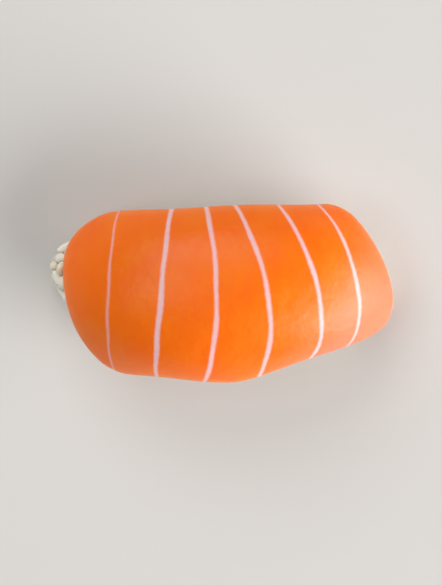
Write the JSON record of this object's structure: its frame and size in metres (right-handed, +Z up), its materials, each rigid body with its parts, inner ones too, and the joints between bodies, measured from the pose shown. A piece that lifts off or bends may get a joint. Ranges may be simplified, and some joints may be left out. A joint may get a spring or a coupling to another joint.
{
  "type": "vegan nigiri",
  "caption": "Finger of pressed white rice with a soft orange plant-based slice draped over it, marked by thin pale stripes.",
  "frame": {"origin": "under the middle of the piece's box, on the surface that it stands on", "axes": "+X along the piece, with the rice that shows beyond the slice at -X; +Z up; +Y to the back, the picture's upper side"},
  "size_m": [0.0674, 0.035, 0.0271],
  "materials": {
    "rice": "cooked white rice, moist with a soft sheen",
    "topping": "moist orange plant-based gel slice with thin pale stripes, soft gloss"
  },
  "bodies": {
    "root": {"rice_block": "rice", "topping_slice": "topping"}
  },
  "joints": []
}
